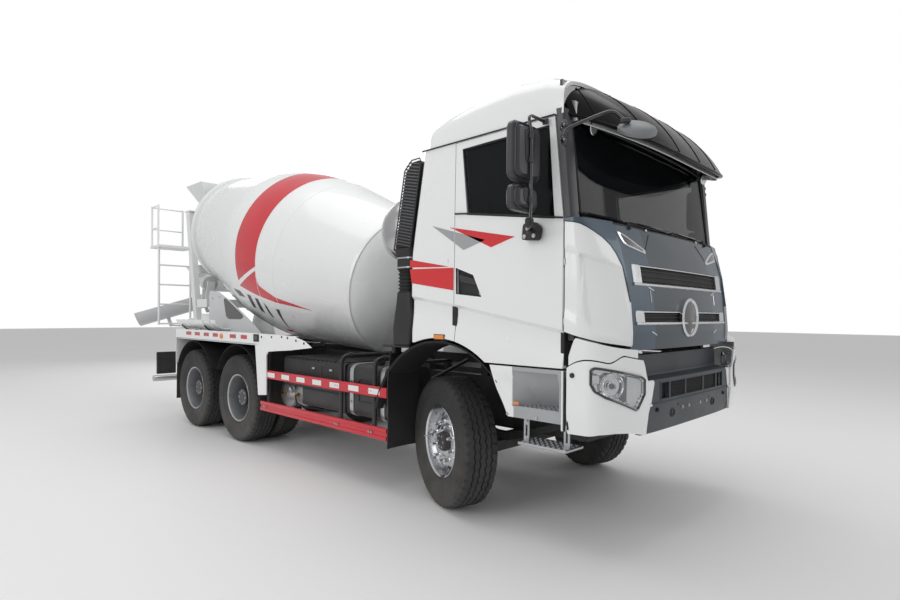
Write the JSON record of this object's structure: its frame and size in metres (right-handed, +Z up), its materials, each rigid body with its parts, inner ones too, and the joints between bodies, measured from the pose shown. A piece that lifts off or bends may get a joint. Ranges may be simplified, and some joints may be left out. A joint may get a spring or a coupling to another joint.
{
  "type": "concrete mixer truck",
  "caption": "Forward-control concrete mixer truck with tilting cab, rotating drum, charging hopper, swinging discharge chute, side guards and rear ladder.",
  "frame": {"origin": "on the ground under the middle of the overall length and width, wheels standing on z = 0", "axes": "+X forward, the direction the truck drives; +Y to the truck's left; +Z up"},
  "size_m": [9.4743, 3.18, 3.85],
  "materials": {
    "white_paint": "gloss",
    "black_paint": "satin",
    "grey_blue_paint": "metallic",
    "mixer_grey": "satin",
    "drum_white": "gloss",
    "red_paint": "gloss",
    "bumper_grey": "satin",
    "black_plastic": "matte",
    "visor_black": "gloss",
    "mirror_black": "gloss",
    "glass": "clear",
    "tyre": "matte",
    "front_rim_alloy": "polished",
    "rear_rim_silver": "satin",
    "cast_black": "rough",
    "step_aluminium": "brushed",
    "tank_polished": "polished",
    "steel": "brushed",
    "seat_fabric": "woven",
    "dash_plastic": "matte"
  },
  "bodies": {
    "chassis": {"frame_rails": "black_paint", "crossmembers": "black_paint", "front_axle": "cast_black", "rear_axles": "cast_black", "drivetrain": "cast_black", "bumper": "bumper_grey", "bumper_corners": "white_paint", "entry_steps": "step_aluminium", "front_mudguards": "black_plastic", "rear_mudguards": "white_paint", "tanks_and_boxes": "black_plastic", "side_guards": "red_paint", "rear_bumper": "black_paint", "front_pedestal": "mixer_grey", "water_tank": "tank_polished", "rear_pedestal": "mixer_grey", "hoppers": "drum_white", "ladder": "drum_white", "air_intake": "black_plastic"},
    "left_knuckle": {"left_knuckle": "cast_black"},
    "right_knuckle": {"right_knuckle": "cast_black"},
    "tie_rod": {"tie_rod": "cast_black"},
    "cab": {"cab_floor": "black_paint", "cab_rear": "white_paint", "cab_roof": "white_paint", "cab_front": "white_paint", "windscreen": "glass", "sun_visor": "visor_black", "dashboard": "dash_plastic", "seats": "seat_fabric", "front_mirror": "mirror_black"},
    "steering_wheel": {"steering_wheel": "black_plastic"},
    "front_lid": {"front_lid": "grey_blue_paint"},
    "left_door": {"left_door": "white_paint", "left_door_glass": "glass", "left_mirrors": "mirror_black"},
    "right_door": {"right_door": "white_paint", "right_door_glass": "glass", "right_mirrors": "mirror_black"},
    "drum": {"drum_front": "drum_white", "drum_barrel": "drum_white", "drum_rear": "drum_white"},
    "left_roller": {"left_roller": "steel"},
    "right_roller": {"right_roller": "steel"},
    "chute_swivel": {"chute_swivel": "mixer_grey"},
    "chute": {"chute": "mixer_grey"},
    "chute_cylinder": {"chute_cylinder": "black_paint"},
    "chute_rod": {"chute_rod": "steel"},
    "front_left_wheel": {"front_left_tyre": "tyre", "front_left_rim": "front_rim_alloy"},
    "front_right_wheel": {"front_right_tyre": "tyre", "front_right_rim": "front_rim_alloy"},
    "middle_left_wheel": {"middle_left_tyre": "tyre", "middle_left_rim": "rear_rim_silver"},
    "middle_right_wheel": {"middle_right_tyre": "tyre", "middle_right_rim": "rear_rim_silver"},
    "rear_left_wheel": {"rear_left_tyre": "tyre", "rear_left_rim": "rear_rim_silver"},
    "rear_right_wheel": {"rear_right_tyre": "tyre", "rear_right_rim": "rear_rim_silver"}
  },
  "joints": [
    {"name": "left_steer", "type": "hinge", "parent": "chassis", "child": "left_knuckle", "pos_m": [3.059, 0.88, 0.5425], "axis": [0, 0, 1], "range_deg": [-15, 55]},
    {"name": "right_steer", "type": "hinge", "parent": "chassis", "child": "right_knuckle", "pos_m": [3.059, -0.88, 0.5425], "axis": [0, 0, 1], "range_deg": [-15, 55]},
    {"name": "tie_rod_turn", "type": "hinge", "parent": "left_knuckle", "child": "tie_rod", "pos_m": [2.87106, 0.9484, 0.4595], "axis": [0, 0, 1], "range_deg": [-55, 15]},
    {"name": "front_left_wheel_spin", "type": "hinge", "parent": "left_knuckle", "child": "front_left_wheel", "pos_m": [3.10346, 1.00216, 0.5425], "axis": [0.342, 0.9397, 0], "continuous": true},
    {"name": "front_right_wheel_spin", "type": "hinge", "parent": "right_knuckle", "child": "front_right_wheel", "pos_m": [3.01454, -1.00216, 0.5425], "axis": [0.342, 0.9397, 0], "continuous": true},
    {"name": "middle_left_wheel_spin", "type": "hinge", "parent": "chassis", "child": "middle_left_wheel", "pos_m": [-0.581, 0.9075, 0.5425], "axis": [0, 1, 0], "continuous": true},
    {"name": "middle_right_wheel_spin", "type": "hinge", "parent": "chassis", "child": "middle_right_wheel", "pos_m": [-0.581, -0.9075, 0.5425], "axis": [0, 1, 0], "continuous": true},
    {"name": "rear_left_wheel_spin", "type": "hinge", "parent": "chassis", "child": "rear_left_wheel", "pos_m": [-1.931, 0.9075, 0.5425], "axis": [0, 1, 0], "continuous": true},
    {"name": "rear_right_wheel_spin", "type": "hinge", "parent": "chassis", "child": "rear_right_wheel", "pos_m": [-1.931, -0.9075, 0.5425], "axis": [0, 1, 0], "continuous": true},
    {"name": "cab_tilt", "type": "hinge", "parent": "chassis", "child": "cab", "pos_m": [4.459, 0, 1.06], "axis": [0, 1, 0], "range_deg": [0, 50]},
    {"name": "front_lid_open", "type": "hinge", "parent": "cab", "child": "front_lid", "pos_m": [4.369, 0, 2.235], "axis": [0, -1, 0], "range_deg": [0, 80]},
    {"name": "left_door_open", "type": "hinge", "parent": "cab", "child": "left_door", "pos_m": [4.2665, 1.24, 1.9], "axis": [0, 0, -1], "range_deg": [0, 70]},
    {"name": "right_door_open", "type": "hinge", "parent": "cab", "child": "right_door", "pos_m": [4.2665, -1.24, 1.9], "axis": [0, 0, 1], "range_deg": [0, 70]},
    {"name": "steering_wheel_turn", "type": "hinge", "parent": "cab", "child": "steering_wheel", "pos_m": [3.859, 0.6, 2.12], "axis": [-0.5, 0, 0.866], "range_deg": [-270, 990]},
    {"name": "drum_spin", "type": "hinge", "parent": "chassis", "child": "drum", "pos_m": [1.259, 0, 1.93], "axis": [-0.9703, 0, 0.2419], "continuous": true},
    {"name": "left_roller_spin", "type": "hinge", "parent": "chassis", "child": "left_roller", "pos_m": [-3.00831, 0.56768, 2.09305], "axis": [-0.9703, 0, 0.2419], "continuous": true},
    {"name": "right_roller_spin", "type": "hinge", "parent": "chassis", "child": "right_roller", "pos_m": [-3.00831, -0.56768, 2.09305], "axis": [-0.9703, 0, 0.2419], "continuous": true},
    {"name": "chute_swing", "type": "hinge", "parent": "chassis", "child": "chute_swivel", "pos_m": [-3.941, 0, 1.42], "axis": [0, 0, 1], "range_deg": [-126, 0]},
    {"name": "chute_tilt", "type": "hinge", "parent": "chute_swivel", "child": "chute", "pos_m": [-4.02607, -0.16989, 1.64], "axis": [-0.8942, 0.4478, 0], "range_deg": [-5, 15]},
    {"name": "chute_cylinder_turn", "type": "hinge", "parent": "chute_swivel", "child": "chute_cylinder", "pos_m": [-3.99921, -0.11624, 1.33], "axis": [-0.8942, 0.4478, 0], "range_deg": [-5, 13]},
    {"name": "chute_rod_slide", "type": "slide", "parent": "chute_cylinder", "child": "chute_rod", "axis": [-0.4462, -0.891, 0.0846], "range_m": [-0.03, 0.08]}
  ],
  "couplings": [
    {"joint": "right_steer", "follows": "left_steer", "ratio": 1},
    {"joint": "tie_rod_turn", "follows": "left_steer", "ratio": -1},
    {"joint": "steering_wheel_turn", "follows": "left_steer", "ratio": 18},
    {"joint": "left_roller_spin", "follows": "drum_spin", "ratio": -7.336},
    {"joint": "right_roller_spin", "follows": "drum_spin", "ratio": -7.336},
    {"joint": "chute_cylinder_turn", "follows": "chute_tilt", "ratio": 0.842},
    {"joint": "chute_rod_slide", "follows": "chute_tilt", "m_per_rad": 0.294}
  ]
}
